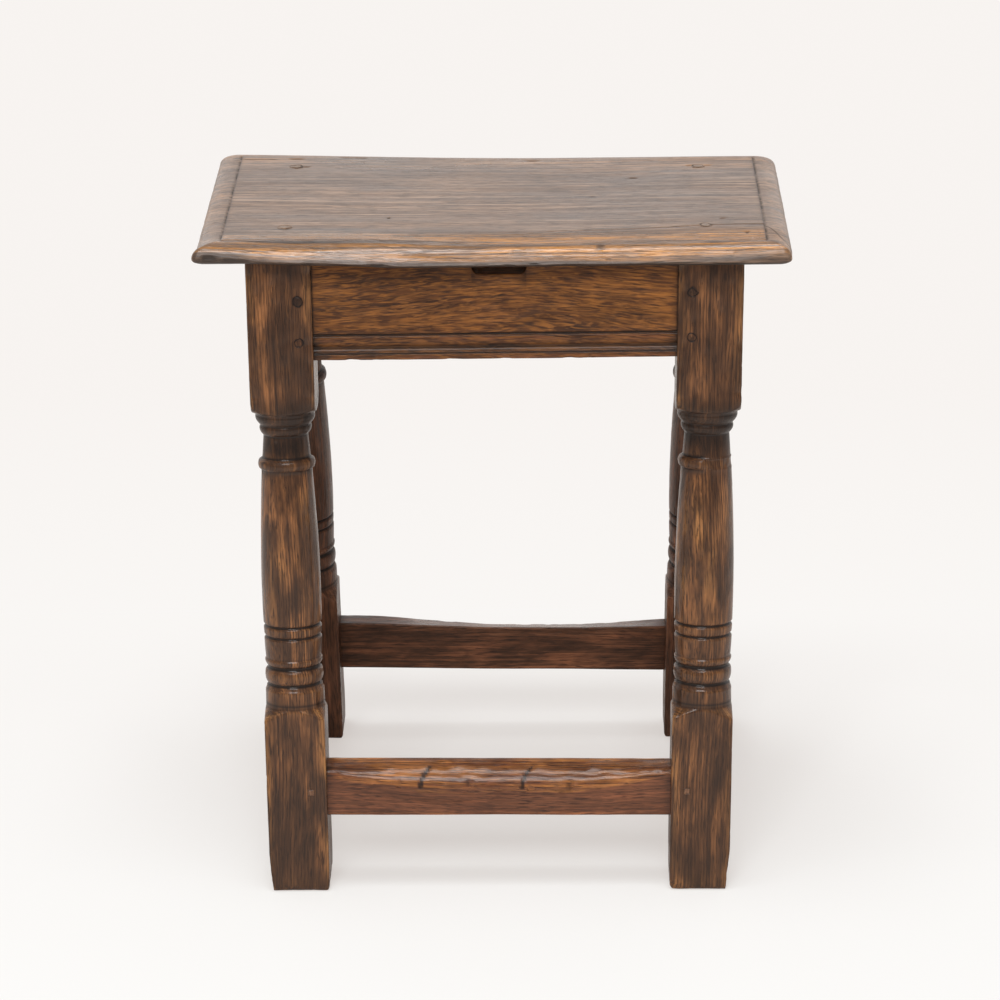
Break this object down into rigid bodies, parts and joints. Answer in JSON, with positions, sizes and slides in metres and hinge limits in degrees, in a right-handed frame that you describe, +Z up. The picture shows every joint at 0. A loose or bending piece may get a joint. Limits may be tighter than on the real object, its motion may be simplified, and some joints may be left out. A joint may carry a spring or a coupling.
{
  "type": "joint stool",
  "caption": "Joint stool in aged oak: moulded seat board, splayed turned legs, pegged rails with a notch in the front one, and worn stretchers near the floor.",
  "frame": {"origin": "on the floor, midway between the four feet and under the middle of the seat", "axes": "+Z up, +X along the length of the seat to the right, +Y to the back, away from the notched front rail"},
  "size_m": [0.46, 0.3584, 0.526],
  "materials": {
    "seat_oak": "waxed, grey-brown, worn at the edges",
    "leg_oak": "waxed, dark brown with a worn sheen",
    "rail_oak": "waxed, golden brown",
    "stretcher_oak": "waxed, reddish brown, scuffed",
    "peg_oak": "waxed, dark end grain"
  },
  "bodies": {
    "root": {"seat_board": "seat_oak", "seat_pegs": "peg_oak", "leg_front_left": "leg_oak", "leg_front_right": "leg_oak", "leg_back_left": "leg_oak", "leg_back_right": "leg_oak", "rail_front": "rail_oak", "rail_back": "rail_oak", "rail_left": "rail_oak", "rail_right": "rail_oak", "stretcher_front": "stretcher_oak", "stretcher_back": "stretcher_oak", "stretcher_left": "stretcher_oak", "stretcher_right": "stretcher_oak", "rail_pegs_front": "peg_oak", "rail_pegs_back": "peg_oak", "rail_pegs_left": "peg_oak", "rail_pegs_right": "peg_oak", "stretcher_pegs_front": "peg_oak", "stretcher_pegs_back": "peg_oak", "stretcher_pegs_left": "peg_oak", "stretcher_pegs_right": "peg_oak"}
  },
  "joints": []
}
